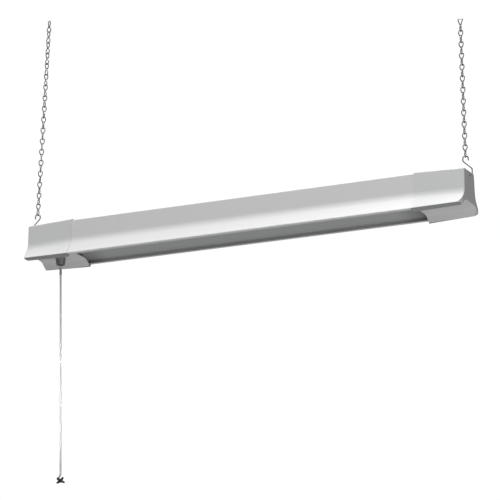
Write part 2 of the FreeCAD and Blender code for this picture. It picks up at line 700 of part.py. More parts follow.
def driver_case():
    """An open tray for the driver's board, with a tapped post in each corner."""
    x0, x1 = driver_span()
    floor = -TRAY_DEPTH
    top = floor + DRIVER_HEIGHT
    wall = DRIVER_WALL
    body = box(x0, x1, -DRIVER_HALF, DRIVER_HALF, floor, top)
    side = DRIVER_HALF - wall
    hollow = box(x0 + wall, x1 - wall, -side, side, floor + wall, top + OVERRUN)
    corners = [column(x, y, floor, top, DRIVER_POST) for x, y in driver_corners()]
    body = fused([body.cut(hollow)] + corners)
    taps = []
    for x, y in driver_corners():
        taps.append(column(x, y, top - SCREW_BITE, top + OVERRUN, SCREW_RADIUS))
        taps.append(column(x, y, TRAY_UNDER, floor + SCREW_BITE - TRAY_SHEET, SCREW_RADIUS))
    for x in (x0, x1):
        for y in (-LEAD_OFFSET, LEAD_OFFSET):
            middle = V(x, y, lead_height())
            reach = V(2 * wall, 0, 0)
            taps.append(rod(middle - reach, middle + reach, LEAD_RADIUS + SCREW_PLAY))
    return cut(body, taps)


def driver_lid():
    x0, x1 = driver_span()
    top = -TRAY_DEPTH + DRIVER_HEIGHT
    lid = box(x0, x1, -DRIVER_HALF, DRIVER_HALF, top, top + DRIVER_WALL)
    return cut(lid, [hole(x, y, top, SCREW_RADIUS + SCREW_PLAY) for x, y in driver_corners()])


def driver_screws():
    top = -TRAY_DEPTH + DRIVER_HEIGHT + DRIVER_WALL
    lid_screws = [screw(x, y, top, -1) for x, y in driver_corners()]
    return lid_screws + [screw(x, y, TRAY_UNDER, 1) for x, y in driver_corners()]


def driver_board_level():
    return -TRAY_DEPTH + DRIVER_WALL + DRIVER_BOARD_RISE


def driver_board():
    """The driver's circuit board on four feet, with a notch round each corner post."""
    x0, x1 = driver_span()
    edge = DRIVER_WALL + FLUSH_GAP
    level = driver_board_level()
    side = DRIVER_HALF - edge
    plate = box(x0 + edge, x1 - edge, -side, side, level, level + BOARD_THICK)
    feet = [column(DRIVER_CENTRE + sx * DRIVER_LENGTH / 3, sy * DRIVER_HALF / 2,
                   -TRAY_DEPTH + DRIVER_WALL, level, DRIVER_POST) for sx in (-1, 1) for sy in (-1, 1)]
    notches = [box(x - DRIVER_POST * 2, x + DRIVER_POST * 2, y - DRIVER_POST * 2, y + DRIVER_POST * 2,
                   level - 1, level + 2 * BOARD_THICK) for x, y in driver_corners()]
    return fused([cut(plate, notches)] + feet)


def driver_parts():
    """A transformer, two capacitors and a choke, standing on the driver's board."""
    level = driver_board_level() + BOARD_THICK
    pieces = [column(DRIVER_CENTRE + side * CAPACITOR_OFFSET, 0, level, level + CAPACITOR_HEIGHT,
                     CAPACITOR_RADIUS) for side in (-1, 1)]
    for (length, width, height), offset in ((TRANSFORMER, 0), (CHOKE, -CHOKE_OFFSET)):
        middle = DRIVER_CENTRE + offset
        pieces.append(box(middle - length / 2, middle + length / 2, -width / 2, width / 2,
                          level, level + height))
    return pieces


# ---- leads ------------------------------------------------------------------------------------------
def lead_height():
    return -TRAY_DEPTH + BLOCK[2] / 2


def pair(points, bends):
    """Two leads side by side on the same route."""
    pieces = []
    for side in (-1, 1):
        route = [V(x, side * LEAD_OFFSET, z) for x, z in points]
        pieces.append(tube(route, bends, LEAD_RADIUS))
    return pieces


def terminal_block():
    length, width, height = BLOCK
    body = box(BLOCK_CENTRE - length / 2, BLOCK_CENTRE + length / 2, -width / 2, width / 2,
               -TRAY_DEPTH, -TRAY_DEPTH + height)
    wells = [column(BLOCK_CENTRE + sx * length / 4, sy * width / 4, -TRAY_DEPTH + height / 2,
                    -TRAY_DEPTH + height + OVERRUN, SCREW_HEAD) for sx in (-1, 1) for sy in (-1, 1)]
    return cut(body, wells)


def switch_leads():
    start = BLOCK_CENTRE - BLOCK[0] / 2
    end = SWITCH_X + SWITCH_SIZE[0] / 2
    middle = (start + end) / 2
    low = -(SWITCH_TOP_DEPTH + SWITCH_FLOOR_DEPTH) / 2
    drop = abs(low - lead_height()) / 2
    return pair([(start, lead_height()), (middle + 2 * drop + LEAD_BEND, lead_height()),
                 (middle - 2 * drop - LEAD_BEND, low), (end, low)], [0, LEAD_BEND, LEAD_BEND, 0])


def supply_leads():
    start = BLOCK_CENTRE + BLOCK[0] / 2
    end = driver_span()[0] + DRIVER_WALL
    sag = lead_height() - LEAD_BEND
    middle = (start + end) / 2
    return pair([(start, lead_height()), (start + LEAD_BEND * 2, lead_height()), (middle, sag),
                 (end - LEAD_BEND * 2, lead_height()), (end, lead_height())],
                [0, 2 * LEAD_BEND, 4 * LEAD_BEND, 2 * LEAD_BEND, 0])


def light_leads():
    start = driver_span()[1] - DRIVER_WALL
    level = BOARD_UNDER - CONNECTOR[2] / 2
    return pair([(start, lead_height()), (0, lead_height()), (0, level), (connector_places(), level)],
                [0, LEAD_BEND, LEAD_BEND, 0])


def board_jumpers():
    level = BOARD_UNDER - CONNECTOR[2] / 2
    near = connector_places()
    return [rod(V(-near, y, level), V(near, y, level), LEAD_RADIUS) for y in (-JUMPER_OFFSET, JUMPER_OFFSET)]


# ---- cord inlet --------------------------------------------------------------------------------------
def inlet_bushing():
    """A flanged bushing in the channel's top, with a latch ring under the sheet."""
    body = fused([
        column(INLET_X, 0, -INLET_DEPTH, 0, INLET_BODY - THREAD_PLAY),
        column(INLET_X, 0, 0, INLET_FLANGE_HEIGHT, INLET_FLANGE),
        column(INLET_X, 0, -SHEET - INLET_FLANGE_HEIGHT, -SHEET, INLET_BODY + INLET_LATCH)])
    return body.cut(column(INLET_X, 0, -2 * INLET_DEPTH, 2 * INLET_DEPTH, INLET_BORE))


# ---- pull switch ----------------------------------------------------------------------------------------
def switch_body():
    """The switch's case with its threaded nipple and the well for rod and spring."""
    length, width = SWITCH_SIZE
    floor = -SWITCH_FLOOR_DEPTH - SWITCH_FLOOR
    case = box(SWITCH_X - length / 2, SWITCH_X + length / 2, -width / 2, width / 2,
               floor, -SWITCH_TOP_DEPTH)
    nipple = column(SWITCH_X, 0, -NIPPLE_END_DEPTH, floor + SWITCH_FLOOR / 2, NIPPLE_RADIUS)
    well = column(SWITCH_X, 0, -SWITCH_FLOOR_DEPTH, -SWITCH_TOP_DEPTH - SWITCH_CEILING, SWITCH_BORE)
    bore = column(SWITCH_X, 0, -NIPPLE_END_DEPTH - OVERRUN, -SWITCH_FLOOR_DEPTH + OVERRUN, NIPPLE_BORE)
    return cut(fused([case, nipple]), [well, bore])


def switch_nut():
    top = -SWITCH_PAD_DEPTH
    reach = NUT_FLAT / math.cos(math.radians(30))
    corners = []
    for number in range(6):
        angle = math.radians(60 * number)
        corners.append(V(SWITCH_X + reach * math.cos(angle), reach * math.sin(angle), top))
    face = Part.Face(Part.makePolygon(corners + corners[:1]))
    return face.extrude(V(0, 0, -NUT_THICK)).cut(hole(SWITCH_X, 0, top, NIPPLE_RADIUS + THREAD_PLAY))


def switch_collar():
    """A tapered cover over the nut, screwed onto the nipple by its end."""
    top, end = -SWITCH_PAD_DEPTH, -COLLAR_END_DEPTH
    height = top - end
    outer = Part.makeCone(COLLAR_END_RADIUS, COLLAR_TOP_RADIUS, height, V(SWITCH_X, 0, end))
    slope = (COLLAR_TOP_RADIUS - COLLAR_END_RADIUS) / height
    inner_end = COLLAR_END_RADIUS - COLLAR_WALL + slope * COLLAR_WALL
    inner = Part.makeCone(inner_end, inner_end + slope * height, height, V(SWITCH_X, 0, end + COLLAR_WALL))
    return cut(outer, [inner, hole(SWITCH_X, 0, end, NIPPLE_RADIUS + THREAD_PLAY)])


def switch_rod():
    """The rod that the cord pulls down, with its head above the spring and its eyelet."""
    ring = Part.makeTorus(EYELET_RADIUS, EYELET_WIRE, V(SWITCH_X, 0, -EYELET_DEPTH), V(0, 1, 0))
    shank = column(SWITCH_X, 0, -EYELET_DEPTH + EYELET_RADIUS, -ROD_HEAD_DEPTH, ROD_RADIUS)
    head = column(SWITCH_X, 0, -ROD_HEAD_DEPTH - ROD_HEAD_THICK, -ROD_HEAD_DEPTH, ROD_HEAD_RADIUS)
    return fused([shank, head, ring])


def switch_spring():
    """The return spring's sleeve, between the switch's floor and the rod's head."""
    low = -SWITCH_FLOOR_DEPTH
    high = -ROD_HEAD_DEPTH - ROD_HEAD_THICK - SCREW_PLAY
    outer = column(SWITCH_X, 0, low, high, SPRING_RADIUS)
    return outer.cut(column(SWITCH_X, 0, low - OVERRUN, high + OVERRUN, SPRING_RADIUS - SPRING_WALL))


def cord_ferrule():
    """A crimp with a wire loop that hangs in the eyelet."""
    pivot = V(SWITCH_X, 0, -EYELET_DEPTH - EYELET_RADIUS)
    reach = 2 * EYELET_WIRE + CHAIN_PLAY
    top = V(SWITCH_X, 0, -FERRULE_TOP_DEPTH)
    low = -FERRULE_TOP_DEPTH - EYELET_WIRE
    ring = Part.makeTorus(reach, EYELET_WIRE, pivot, V(1, 0, 0))
    upper = box(SWITCH_X - reach, SWITCH_X + reach, -2 * reach, 2 * reach, pivot.z, pivot.z + 2 * reach)
    legs = [rod(V(SWITCH_X, y, low), V(SWITCH_X, y, pivot.z), EYELET_WIRE) for y in (-reach, reach)]
    sleeve = rod(V(SWITCH_X, 0, -FERRULE_END_DEPTH), top, FERRULE_RADIUS)
    return fused([sleeve, ring.common(upper)] + legs)


def cord_points():
    return [V(SWITCH_X + x, 0, z) for x, z in CORD_ROUTE]


def cord_radii():
    """Each bend as large as its two runs allow; printed with the tube's volume."""
    points = cord_points()
    radii = [0]
    for before, here, after in zip(points, points[1:], points[2:]):
        run = min((here - before).Length, (after - here).Length)
        turn = (here - before).getAngle(after - here)
        radii.append(CORD_BEND_SHARE * run / math.tan(turn / 2))
    return radii + [0]


def pull_cord():
    radii = cord_radii()
    path = Part.Wire(rounded(cord_points(), radii))
    cord = tube(cord_points(), radii, CORD_RADIUS)
    ideal = math.pi * CORD_RADIUS ** 2 * path.Length
    print("cord: length %.1f, bends %s, volume ratio %.4f"
          % (path.Length, ["%.0f" % radius for radius in radii[1:-1]], cord.Volume / ideal))
    return cord


def pull_knob():
    """A small four-armed toggle; the cord ends in its upper left arm."""
    centre = V(SWITCH_X + KNOB_CENTRE[0], 0, KNOB_CENTRE[1])
    last, before = cord_points()[-1], cord_points()[-2]
    way = (last - before).normalize()
    socket = rod(last, last + way * KNOB_SOCKET_LENGTH, KNOB_SOCKET)
    root = last + way * KNOB_SOCKET_LENGTH
    pieces = [socket, Part.makeSphere(KNOB_SOCKET, root), Part.makeSphere(KNOB_CORE, centre)]
    pieces.append(rod(root, centre, KNOB_SOCKET))
    for dx, dz in (KNOB_UPPER, KNOB_LOWER, (-KNOB_LOWER[0], KNOB_LOWER[1])):
        tip = centre + V(dx, 0, dz)
        arm = Part.makeCone(KNOB_CORE, KNOB_TIP, (tip - centre).Length, centre, tip - centre)
        pieces += [arm, Part.makeSphere(KNOB_TIP, tip)]
    body = fused(pieces)
    return body.cut(rod(last, last - way * KNOB_SOCKET, 2 * KNOB_SOCKET))


# ---- the model ------------------------------------------------------------------------------------------
def model():
    face_link = link(round_eye(), round_eye())
    bar_link = link(flat_eye(), round_eye())
    upright = V(0, 0, 1)
    right_strap, right_hook = hanger_strap(), hook()
    right_screws = cap_screws()
    right_rivets = strap_rivets()
    right_board, right_chips = board(), chips()
    return {
        "housing": [housing()],
        "diffuser": [lens()],
        "gear_tray": [tray()],
        "tray_posts": posts(),
        "tray_screws": post_screws(),
        "led_board_right": [right_board],
        "led_board_left": [flipped(right_board)],
        "led_chips_right": right_chips,
        "led_chips_left": [flipped(piece) for piece in right_chips],
        "board_screws": board_screws(),
        "board_connectors": connectors(),
        "board_jumpers": board_jumpers(),
        "driver_case": [driver_case()],
        "driver_lid": [driver_lid()],
        "driver_screws": driver_screws(),
        "driver_board": [driver_board()],
        "driver_parts": driver_parts(),
        "terminal_block": [terminal_block()],
        "switch_leads": switch_leads(),
        "supply_leads": supply_leads(),
        "light_leads": light_leads(),
        "inlet_bushing": [inlet_bushing()],
        "end_cap_right": [end_cap()],
        "end_cap_left": [switch_cap()],
        "cap_screws_right": right_screws,
        "cap_screws_left": [flipped(piece) for piece in right_screws],
        "hanger_strap_right": [right_strap],
        "hanger_strap_left": [flipped(right_strap)],
        "strap_rivets": right_rivets + [flipped(piece) for piece in right_rivets],
        "hook_right": [right_hook],
        "hook_left": [flipped(right_hook)],
        "chain_right": chain(face_link, RIGHT_FOOT, upright, RIGHT_LINKS, 0),
        "chain_left": chain(face_link, LEFT_FOOT, LEFT_WAY, LEFT_LINKS, LEFT_TWIST),
        "top_link_right": [hung(bar_link, RIGHT_FOOT, upright, RIGHT_LINKS - 1, 0)],
        "top_link_left": [hung(face_link, LEFT_FOOT, LEFT_WAY, LEFT_LINKS - 1, LEFT_TWIST)],
        "switch_body": [switch_body()],
        "switch_nut": [switch_nut()],
        "switch_collar": [switch_collar()],
        "switch_rod": [switch_rod()],
        "switch_spring": [switch_spring()],
        "cord_ferrule": [cord_ferrule()],
        "pull_cord": [pull_cord()],
        "pull_knob": [pull_knob()],
    }


def write(nodes):
    os.makedirs("parts", exist_ok=True)
    lowered = V(0, 0, -ORIGIN_HEIGHT)
    for name, pieces in nodes.items():
        shape = pieces[0] if len(pieces) == 1 else Part.makeCompound(pieces)
        shape = shape.translated(lowered)
        if not shape.isValid() or len(shape.Solids) != len(pieces):
            print("check", name, "valid", shape.isValid(), "solids", len(shape.Solids), "of", len(pieces))
        shape.exportStep(os.path.join("parts", name + ".step"))
    print("nodes %d, origin %.3f above the lamp's top" % (len(nodes), ORIGIN_HEIGHT))
    for name, point in (("left pivot", LEFT_PIVOT), ("right pivot", RIGHT_PIVOT)):
        print(name, "%.3f %.3f" % (point.x, point.z - ORIGIN_HEIGHT))


write(model())
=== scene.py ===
# %% [markdown]
# A hanging shop light, three feet long, seen from below and from its right-hand front.
# The frame brings every rigid piece at its place and at its real size. This script gives
# each one its finish, makes the pieces that solids show badly, such as the braided pull
# cord and the coil spring, and sets up a plain white studio with the photograph's camera.

import math

import bpy
import numpy as np
from mathutils import Matrix, Vector


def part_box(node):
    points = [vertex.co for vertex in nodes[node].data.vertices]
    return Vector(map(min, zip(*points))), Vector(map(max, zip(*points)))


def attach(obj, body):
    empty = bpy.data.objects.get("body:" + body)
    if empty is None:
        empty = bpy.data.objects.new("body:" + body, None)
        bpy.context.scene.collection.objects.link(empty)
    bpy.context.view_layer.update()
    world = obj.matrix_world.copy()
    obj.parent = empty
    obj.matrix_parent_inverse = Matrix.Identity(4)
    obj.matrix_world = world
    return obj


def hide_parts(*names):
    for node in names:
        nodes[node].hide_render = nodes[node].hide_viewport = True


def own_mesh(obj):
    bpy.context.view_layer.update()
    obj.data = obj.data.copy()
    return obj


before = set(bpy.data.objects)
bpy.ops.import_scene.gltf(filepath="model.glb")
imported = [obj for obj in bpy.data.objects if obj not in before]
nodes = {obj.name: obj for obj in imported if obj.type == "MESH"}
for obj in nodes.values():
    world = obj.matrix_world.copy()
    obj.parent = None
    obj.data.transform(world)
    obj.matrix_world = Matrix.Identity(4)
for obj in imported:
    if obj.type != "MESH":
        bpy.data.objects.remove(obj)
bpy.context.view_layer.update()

# %% [markdown]
# ## Camera
# The camera stands low and far to the right and looks up at the lamp through a long lens.
# Its place and its three angles were worked out from the lamp's straight edges in the
# photograph. The camera comes first, because it decides what of the cord is seen.

# %% Camera
CAMERA_PLACE = Vector((2.0043, -4.5223, -1.7050))
CAMERA_YAW = math.radians(23.80)
CAMERA_PITCH = math.radians(14.33)
CAMERA_ROLL = math.radians(-0.99)
CAMERA_LENS = 191.95  # mm, on a sensor 36 mm wide


def camera_turn(yaw, pitch, roll):
    """Columns are the camera's right, up and back directions.
    Yaw turns the level view from +Y towards -X, pitch lifts it and roll turns it about itself."""
    level = Vector((-math.sin(yaw), math.cos(yaw), 0))
    right = Vector((math.cos(yaw), math.sin(yaw), 0))
    ahead = level * math.cos(pitch) + Vector((0, 0, math.sin(pitch)))
    up = Vector((0, 0, math.cos(pitch))) - level * math.sin(pitch)
    side = right * math.cos(roll) + up * math.sin(roll)
    over = up * math.cos(roll) - right * math.sin(roll)
    return Matrix((side, over, -ahead)).transposed()


camera = bpy.data.objects.new("camera", bpy.data.cameras.new("camera"))
bpy.context.scene.collection.objects.link(camera)
camera.data.lens = CAMERA_LENS
camera.data.clip_end = 200
turn = camera_turn(CAMERA_YAW, CAMERA_PITCH, CAMERA_ROLL).to_4x4()
camera.matrix_world = Matrix.Translation(CAMERA_PLACE) @ turn
bpy.context.scene.camera = camera

# %% [markdown]
# ## Shader maths
# A finish is a small network of shader nodes. Written as Python expressions it reads like
# the formula that it is: a Field is one socket of the network, and + - * / on fields add
# the Math nodes that work them out.


# %% Field and Finish
class Field:
    """A value over the surface: one output socket, with operators that add Math nodes."""

    def __init__(self, finish, socket):
        self.finish = finish
        self.socket = socket

    def math(self, operation, *values):
        return self.finish.node("Math", {"operation": operation}, dict(enumerate(values)))

    def __add__(self, other):
        return self.math("ADD", self, other)

    def __sub__(self, other):
        return self.math("SUBTRACT", self, other)

    def __rsub__(self, other):
        return self.math("SUBTRACT", other, self)

    def __mul__(self, other):
        return self.math("MULTIPLY", self, other)

    def __truediv__(self, other):
        return self.math("DIVIDE", self, other)

    def power(self, exponent):
        return self.math("POWER", self, exponent)

    def fraction(self):
        return self.math("FRACT", self)

    def size(self):
        return self.math("ABSOLUTE", self)

    def wave(self):
        """Sine of the field."""
        return self.math("SINE", self)

    def step(self, low, high):
        """0 below low, 1 above high and a smooth rise between them."""
        settings = {"interpolation_type": "SMOOTHSTEP"}
        return self.finish.node("MapRange", settings, {0: self, 1: low, 2: high, 3: 0.0, 4: 1.0})

    __radd__ = __add__
    __rmul__ = __mul__


class Finish:
    """A material with one Principled shader, whose sockets take numbers, colours or fields."""

    def __init__(self, name, **sockets):
        self.material = bpy.data.materials.new(name)
        self.material.use_nodes = True
        self.tree = self.material.node_tree
        self.tree.nodes.clear()
        self.shader = self.tree.nodes.new("ShaderNodeBsdfPrincipled")
        output = self.tree.nodes.new("ShaderNodeOutputMaterial")
        self.tree.links.new(self.shader.outputs[0], output.inputs["Surface"])
        place = self.tree.nodes.new("ShaderNodeTexCoord").outputs["Object"]
        self.place = Field(self, place)
        for socket, value in sockets.items():
            self.set(socket.replace("_", " "), value)

    def plug(self, socket, value):
        if isinstance(value, Field):
            self.tree.links.new(value.socket, socket)
        elif isinstance(value, tuple) and socket.type == "RGBA":
            socket.default_value = (*value, 1.0)
        else:
            socket.default_value = value

    def set(self, socket, value):
        """Sets one of the shader's own sockets."""
        self.plug(self.shader.inputs[socket], value)

    def node(self, kind, settings=None, values=None, output=0):
        """Any node: its settings first, then its sockets by name or number; returns a Field."""
        made = self.tree.nodes.new("ShaderNode" + kind)
        for name, value in (settings or {}).items():
            setattr(made, name, value)
        for name, value in (values or {}).items():
            self.plug(made.inputs[name], value)
        return Field(self, made.outputs[output])

    def axes(self, vector=None):
        """x, y and z of the place on the piece, in metres, or of another vector."""
        made = self.tree.nodes.new("ShaderNodeSeparateXYZ")
        self.plug(made.inputs[0], vector or self.place)
        return [Field(self, socket) for socket in made.outputs]

    def noise(self, size, detail=2.0, stretch=(1, 1, 1)):
        """Cloudy noise from 0 to 1 with blots of about the given size in metres."""
        stretched = self.node("VectorMath", {"operation": "MULTIPLY"}, {0: self.place, 1: stretch})
        values = {"Vector": stretched, "Scale": 1 / size, "Detail": detail}
        return self.node("TexNoise", None, values)

    def mix(self, share, first, second):
        """A colour between two colours or colour fields."""
        settings = {"data_type": "RGBA"}
        return self.node("Mix", settings, {0: share, 6: first, 7: second}, output=2)

    def relief(self, height, depth):
        """Bump from a height field from 0 to 1 that stands for depth metres."""
        values = {"Height": height, "Distance": depth, "Strength": 1.0}
        self.set("Normal", self.node("Bump", None, values))


def dress(finish, *names):
    """Gives the finish to the frame's nodes of these names."""
    for name in names:
        slots = nodes[name].data.materials
        slots.clear()
        slots.append(finish.material)


# %% [markdown]
# ## Powder coat
# The channel is steel sheet under a white powder coat. Baked powder is almost smooth, with
# the shallow ripple called orange peel, a few millimetres across, and a soft sheen. The
# coat is a trace darker where dust settles in the ripple.


# %% Powder coat
def powder_coat(name, colour, dust):
    finish = Finish(name, IOR=1.5)
    ripple = finish.noise(0.004, 3.0)
    cloud = finish.noise(0.12, 4.0, (0.4, 1, 1))
    tone = ripple * 0.3 + cloud * 0.7
    finish.set("Base Color", finish.mix(tone, colour, dust))
    finish.set("Roughness", 0.36 + cloud * 0.12)
    finish.relief(ripple, 0.00012)
    return finish


white_coat = powder_coat("painted_steel", (0.80, 0.805, 0.81), (0.765, 0.765, 0.76))
dress(white_coat, "housing", "gear_tray")

# %% [markdown]
# ## Moulded caps
# The caps are matt white plastic. The mould was spark eroded, which leaves an even grain of
# about half a millimetre. Plastic takes the light a little deeper than paint, so its colour
# is warmer and its gloss is lower. The rim below the wings' edges is painted as a dark band,
# painted shade where the wings overhang it, so the caps' colour also depends on how far a point
# lies below that edge.


# %% Moulded caps
def moulded(name, colour, shade, grain, roughness):
    finish = Finish(name, IOR=1.46)
    fine = finish.noise(grain, 4.0)
    cloud = finish.noise(0.05, 3.0)
    finish.set("Base Color", finish.mix(cloud * 0.6 + fine * 0.4, colour, shade))
    finish.set("Roughness", roughness + fine * 0.14)
    finish.relief(fine, 0.00006)
    return finish


CAP_COLOUR = (0.78, 0.785, 0.79)
CAP_SHADE = (0.745, 0.75, 0.75)
# painted shade: the rim under the wings' edges is painted dark grey
RIM_SHADE_COLOUR = (0.34, 0.345, 0.35)
CAP_MOUTH = 0.3585  # from the lamp's middle
WING_EDGE = 0.41547  # depth of the wing's edge at the cap's mouth; it rises outwards
WING_RISE = 0.0015 / 0.0985
RIM_INSIDE = 0.0440  # the rim lies further out than this
RIM_FADE = 0.0008  # going outwards, the rim darkens over this width
RIM_START = 0.0001  # below the wing's edge
RIM_FULL = 0.0007
CAP_GRAIN = 0.0006

cap_white = moulded("cap_plastic", CAP_COLOUR, CAP_SHADE, CAP_GRAIN, 0.42)
along, across, height = cap_white.axes()
below_edge = (along.size() - CAP_MOUTH) * WING_RISE - height - WING_EDGE
outside = across.size().step(RIM_INSIDE, RIM_INSIDE + RIM_FADE)
# painted shade: a dark band on the rim, just below the wing's edge
painted_rim_shade = below_edge.step(RIM_START, RIM_FULL) * outside
grain = cap_white.mix(cap_white.noise(CAP_GRAIN, 4.0), CAP_COLOUR, CAP_SHADE)
cap_white.set("Base Color", cap_white.mix(painted_rim_shade, grain, RIM_SHADE_COLOUR))
dress(cap_white, "end_cap_left", "end_cap_right")

# %% [markdown]
# ## Lens
# The lens is frosted acrylic with a faint lengthwise grain from the extruder's die. The
# lamp is off, so it looks grey: the light that enters is lost among the boards above it.
# Towards both ends it is painted darker still: painted shade where the caps shade it.

# %% Lens
LENS_RIB = 0.0016  # spacing of the die lines
LENS_SHADE_START = 0.300  # from here to its ends the lens is painted darker and darker: painted shade next to the caps
LENS_END = 0.365

lens_frost = Finish("lens_acrylic", IOR=1.49)
along, across, _ = lens_frost.axes()
die_lines = (across * (2 * math.pi / LENS_RIB)).wave() * 0.5 + 0.5
frost = lens_frost.noise(0.0009, 3.0)
painted_end_shade = along.size().step(LENS_SHADE_START, LENS_END)
lens_tone = lens_frost.mix(frost, (0.485, 0.49, 0.495), (0.44, 0.448, 0.455))
# painted shade: the lens turns dark grey towards its ends, next to the caps
lens_frost.set("Base Color", lens_frost.mix(painted_end_shade, lens_tone, (0.22, 0.224, 0.228)))
lens_frost.set("Roughness", 0.38 + frost * 0.2)
lens_frost.relief(die_lines * 0.5 + frost * 0.5, 0.00005)
dress(lens_frost, "diffuser")

# %% [markdown]
# ## Zinc and steel
# Chain and hooks are zinc-plated wire, the screws and posts are duller zinc, and the straps
# and the driver's box are galvanised sheet, whose zinc froze in crystals a few millimetres
# wide that each catch the light in their own way. Wire this thin shows as strokes of light
# and dark, so its colour is painted lighter and darker over a few millimetres, and fine
# scratches run along it; on the chain and hooks these dark blots are painted reflection.
# One flat grey would look like string. The switch has a brushed nickel collar and a brighter
# eyelet.


# %% Plated metals
def plated(name, colour, dull, roughness, blot=0.003):
    finish = Finish(name, Metallic=1.0)
    cloud = finish.noise(blot, 4.0)
    scratch = finish.noise(0.0005, 2.0, (1, 1, 0.15))
    finish.set("Base Color", finish.mix(cloud, colour, dull))
    finish.set("Roughness", roughness + cloud * 0.12 + scratch * 0.1)
    finish.relief(scratch, 0.00003)
    return finish


def galvanised(name, colour, dull, crystal):
    """Each crystal is one Voronoi cell; its random number sets its tone and its gloss."""
    finish = Finish(name, Metallic=1.0)
    values = {"Vector": finish.place, "Scale": 1 / crystal}
    cell = finish.node("TexVoronoi", None, values, output=1)
    tone, gloss, _ = finish.axes(cell)
    finish.set("Base Color", finish.mix(tone, colour, dull))
    finish.set("Roughness", 0.34 + gloss * 0.22)
    finish.relief(tone, 0.00002)
    return finish


# painted reflection: the chain's very dark blots stand for a dark room mirrored in bright zinc
bright_zinc = plated("zinc_wire", (0.55, 0.555, 0.56), (0.16, 0.165, 0.17), 0.13)
chrome = plated("switch_chrome", (0.90, 0.90, 0.91), (0.70, 0.70, 0.71), 0.26)
dull_zinc = plated("zinc_steel", (0.66, 0.68, 0.70), (0.50, 0.51, 0.54), 0.30)
spangle = galvanised("galvanised_steel", (0.70, 0.72, 0.74), (0.50, 0.52, 0.54), 0.004)
dark_nickel = plated("switch_metal", (0.44, 0.44, 0.45), (0.30, 0.30, 0.31), 0.34)
spring_steel = plated("spring_steel", (0.62, 0.62, 0.61), (0.45, 0.44, 0.43), 0.22)
dress(bright_zinc, "chain_left", "chain_right", "top_link_left", "top_link_right", "hook_left",
      "hook_right")
dress(dull_zinc, "tray_posts", "tray_screws", "board_screws", "driver_screws", "cap_screws_left",
      "cap_screws_right", "strap_rivets", "switch_nut")
dress(spangle, "hanger_strap_left", "hanger_strap_right", "driver_case", "driver_lid")
dress(dark_nickel, "switch_collar", "cord_ferrule")
dress(chrome, "switch_rod")

# %% [markdown]
# ## Small mouldings and leads
# Switch, bushing and knob are black plastic, connectors are natural nylon, and the leads
# have smooth vinyl sleeves. They come from the same function as the caps, because a moulding
# differs from the next one only in its colour, its grain and its gloss.

# %% Small plastics
switch_black = moulded("switch_black", (0.045, 0.045, 0.05), (0.03, 0.03, 0.032), 0.0005, 0.40)
bushing_black = moulded("bushing_plastic", (0.05, 0.05, 0.055), (0.035, 0.035, 0.037), 0.0005, 0.38)
knob_black = moulded("knob_plastic", (0.02, 0.02, 0.022), (0.012, 0.012, 0.013), 0.0005, 0.30)
nylon = moulded("connector_plastic", (0.86, 0.85, 0.80), (0.80, 0.79, 0.73), 0.0008, 0.35)
black_lead = moulded("lead_black", (0.03, 0.03, 0.03), (0.02, 0.02, 0.02), 0.0010, 0.32)
white_lead = moulded("lead_white", (0.80, 0.80, 0.77), (0.72, 0.72, 0.68), 0.0010, 0.32)
dress(switch_black, "switch_body")
dress(bushing_black, "inlet_bushing")
dress(knob_black, "pull_knob")
dress(nylon, "board_connectors", "terminal_block")
dress(black_lead, "board_jumpers", "switch_leads")
dress(white_lead, "supply_leads", "light_leads")

# %% [markdown]
# ## Light boards and driver
# A light board is white solder mask over copper, and the tracks show as low, slightly darker
# bands along it. Each chip is a white frame round a yellow dot of phosphor. The chips are one
# node with a known spacing, so the dots repeat by taking the fraction of the distance from the
# board's first chip. The driver's own board is green with pads and tracks in rough squares,
# which is what a Voronoi pattern with Chebychev distance gives, and its transformer has a
# band of amber tape round its winding.

# %% Boards
TRACK_SPACING = 0.006

board_white = Finish("board_white")
_, across, _ = board_white.axes()
track = (across * (2 * math.pi / TRACK_SPACING)).wave().step(0.2, 0.35)
board_white.set("Base Color", board_white.mix(track, (0.84, 0.85, 0.84), (0.77, 0.78, 0.76)))
board_white.set("Roughness", 0.28 + board_white.noise(0.002) * 0.1)
board_white.relief(track, 0.00004)
dress(board_white, "led_board_left", "led_board_right")

CHIP_FIRST = 0.052
CHIP_COUNT = 18  # on each board
CHIP_STEP = 0.278 / (CHIP_COUNT - 1)
PHOSPHOR_RADIUS = 0.0011
PHOSPHOR_BLUR = 0.00005

chips = Finish("phosphor")
along, across, _ = chips.axes()
local = ((along.size() - CHIP_FIRST) / CHIP_STEP + 0.5).fraction() * CHIP_STEP - CHIP_STEP / 2
from_dot = (local * local + across * across).power(0.5)
rim = from_dot.step(PHOSPHOR_RADIUS - PHOSPHOR_BLUR, PHOSPHOR_RADIUS + PHOSPHOR_BLUR)
chips.set("Base Color", chips.mix(rim, (0.90, 0.66, 0.12), (0.86, 0.86, 0.82)))
chips.set("Roughness", 0.25 + rim * 0.2)
chips.relief(rim, 0.0001)
dress(chips, "led_chips_left", "led_chips_right")

PADS_PER_METRE = 260.0

circuit = Finish("circuit_green")
values = {"Vector": circuit.place, "Scale": PADS_PER_METRE}
cell = circuit.node("TexVoronoi", {"distance": "CHEBYCHEV"}, values)
copper = cell.step(0.30, 0.36)
circuit.set("Base Color", circuit.mix(copper, (0.03, 0.16, 0.07), (0.06, 0.25, 0.11)))
circuit.set("Roughness", 0.3 + circuit.noise(0.003) * 0.1)
circuit.relief(copper, 0.00005)
dress(circuit, "driver_board")

TRANSFORMER_PLACE = -0.147
TAPE_HALF = 0.0131
TAPE_EDGE = 0.0002

